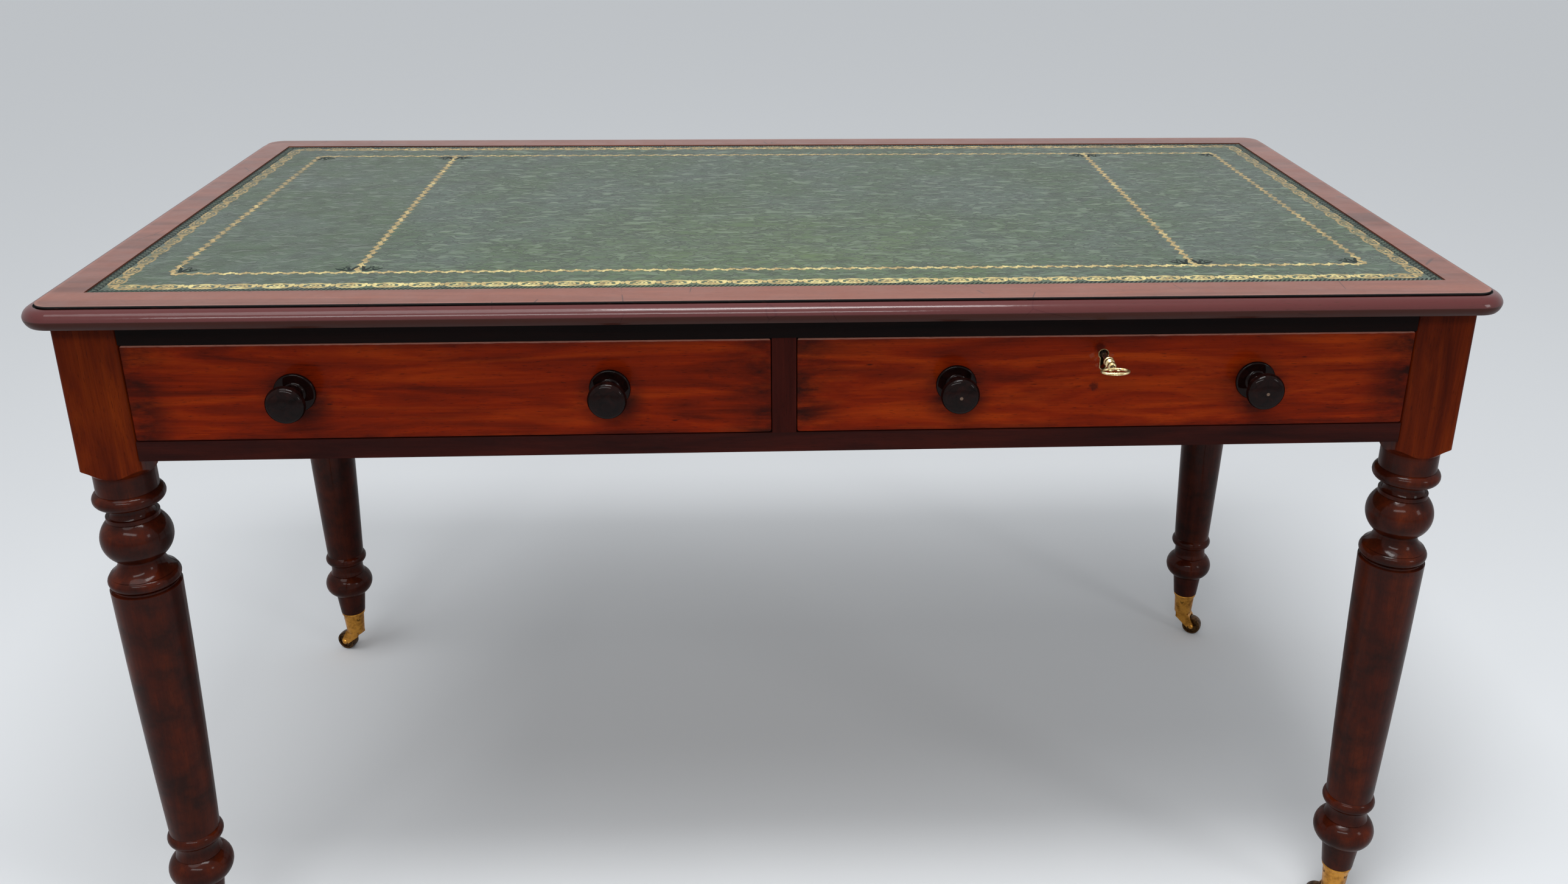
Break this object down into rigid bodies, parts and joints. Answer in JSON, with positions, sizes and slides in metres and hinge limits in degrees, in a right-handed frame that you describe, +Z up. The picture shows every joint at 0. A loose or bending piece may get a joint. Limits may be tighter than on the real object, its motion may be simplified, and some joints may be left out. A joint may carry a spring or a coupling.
{
  "type": "writing desk with drawers",
  "caption": "Leather-topped library writing table on turned tapering legs with castors, with frieze drawers, turned knobs and a lock with its key.",
  "frame": {"origin": "on the floor under the middle of the whole outline, key included", "axes": "+X along the front to the right, +Y from the drawers to the back, +Z up"},
  "size_m": [1.37, 0.73, 0.775],
  "materials": {
    "top_mahogany": "waxed, sun-faded mahogany",
    "green_leather": "grey-green skiver with gold tooling",
    "dark_rail_mahogany": "dark polished mahogany",
    "rail_mahogany": "dark polished mahogany",
    "apron_mahogany": "french-polished mahogany",
    "turned_mahogany": "french-polished turned mahogany",
    "drawer_front_mahogany": "french-polished mahogany",
    "knob_mahogany": "dark glossy turned mahogany",
    "drawer_lining_oak": "planed oak, unpolished",
    "carcass_pine": "planed pine, unpolished",
    "wheel_bronze": "dark patinated bronze",
    "castor_brass": "old polished brass",
    "screw_steel": "old steel",
    "key_brass": "worn brass",
    "lock_brass": "old brass",
    "key_steel": "dark worn steel"
  },
  "bodies": {
    "frame": {"back_apron": "apron_mahogany", "castor_cup_back_left": "castor_brass", "castor_cup_back_right": "castor_brass", "castor_cup_front_left": "castor_brass", "castor_cup_front_right": "castor_brass", "castor_screws": "screw_steel", "centre_stile": "dark_rail_mahogany", "drawer_stops": "carcass_pine", "front_bottom_rail": "rail_mahogany", "front_top_rail": "dark_rail_mahogany", "glue_blocks": "carcass_pine", "guide_centre": "carcass_pine", "guide_left": "carcass_pine", "guide_right": "carcass_pine", "kicker_centre": "carcass_pine", "kicker_left": "carcass_pine", "kicker_right": "carcass_pine", "leather_skiver": "green_leather", "leg_back_left": "turned_mahogany", "leg_back_right": "turned_mahogany", "leg_front_left": "turned_mahogany", "leg_front_right": "turned_mahogany", "runner_centre": "carcass_pine", "runner_left": "carcass_pine", "runner_right": "carcass_pine", "side_apron_left": "apron_mahogany", "side_apron_right": "apron_mahogany", "top_board": "top_mahogany", "top_screws": "screw_steel"},
    "drawer_left": {"drawer_left_back": "drawer_lining_oak", "drawer_left_bottom": "drawer_lining_oak", "drawer_left_front": "drawer_front_mahogany", "drawer_left_knob_left": "knob_mahogany", "drawer_left_knob_right": "knob_mahogany", "drawer_left_side_left": "drawer_lining_oak", "drawer_left_side_right": "drawer_lining_oak"},
    "drawer_right": {"drawer_right_back": "drawer_lining_oak", "drawer_right_bottom": "drawer_lining_oak", "drawer_right_front": "drawer_front_mahogany", "drawer_right_knob_left": "knob_mahogany", "drawer_right_knob_right": "knob_mahogany", "drawer_right_side_left": "drawer_lining_oak", "drawer_right_side_right": "drawer_lining_oak", "escutcheon": "key_brass", "lock_case": "lock_brass", "lock_screws": "screw_steel"},
    "lock_bolt": {"lock_bolt": "key_steel"},
    "key": {"key_shank": "key_steel", "key_bow": "key_brass"},
    "wheel_back_left": {"castor_wheel_back_left": "wheel_bronze"},
    "wheel_back_right": {"castor_wheel_back_right": "wheel_bronze"},
    "wheel_front_left": {"castor_wheel_front_left": "wheel_bronze"},
    "wheel_front_right": {"castor_wheel_front_right": "wheel_bronze"},
    "castor_back_left": {"castor_yoke_back_left": "castor_brass"},
    "castor_back_right": {"castor_yoke_back_right": "castor_brass"},
    "castor_front_left": {"castor_yoke_front_left": "castor_brass"},
    "castor_front_right": {"castor_yoke_front_right": "castor_brass"}
  },
  "joints": [
    {"name": "drawer_left_slide", "type": "slide", "parent": "frame", "child": "drawer_left", "axis": [0, -1, 0], "range_m": [0, 0.4]},
    {"name": "drawer_right_slide", "type": "slide", "parent": "frame", "child": "drawer_right", "axis": [0, -1, 0], "range_m": [0, 0.4]},
    {"name": "key_turn", "type": "hinge", "parent": "drawer_right", "child": "key", "pos_m": [0.30475, -0.312, 0.7122], "axis": [0, 1, 0], "range_deg": [0, 180]},
    {"name": "bolt_throw", "type": "slide", "parent": "drawer_right", "child": "lock_bolt", "axis": [0, 0, 1], "range_m": [0, 0.008]},
    {"name": "castor_swivel_front_left", "type": "hinge", "parent": "frame", "child": "castor_front_left", "pos_m": [-0.637, -0.284, 0.032], "axis": [0, 0, 1], "continuous": true},
    {"name": "wheel_roll_front_left", "type": "hinge", "parent": "castor_front_left", "child": "wheel_front_left", "pos_m": [-0.6515, -0.29076, 0.014], "axis": [0.4226, -0.9063, 0], "continuous": true},
    {"name": "castor_swivel_front_right", "type": "hinge", "parent": "frame", "child": "castor_front_right", "pos_m": [0.637, -0.284, 0.032], "axis": [0, 0, 1], "continuous": true},
    {"name": "wheel_roll_front_right", "type": "hinge", "parent": "castor_front_right", "child": "wheel_front_right", "pos_m": [0.62314, -0.276, 0.014], "axis": [-0.5, -0.866, 0], "continuous": true},
    {"name": "castor_swivel_back_left", "type": "hinge", "parent": "frame", "child": "castor_back_left", "pos_m": [-0.637, 0.314, 0.032], "axis": [0, 0, 1], "continuous": true},
    {"name": "wheel_roll_back_left", "type": "hinge", "parent": "castor_back_left", "child": "wheel_back_left", "pos_m": [-0.65204, 0.31947, 0.014], "axis": [-0.342, -0.9397, 0], "continuous": true},
    {"name": "castor_swivel_back_right", "type": "hinge", "parent": "frame", "child": "castor_back_right", "pos_m": [0.637, 0.314, 0.032], "axis": [0, 0, 1], "continuous": true},
    {"name": "wheel_roll_back_right", "type": "hinge", "parent": "castor_back_right", "child": "wheel_back_right", "pos_m": [0.65086, 0.306, 0.014], "axis": [0.5, 0.866, 0], "continuous": true}
  ],
  "couplings": [
    {"joint": "bolt_throw", "follows": "key_turn", "m_per_rad": 0.002546}
  ]
}
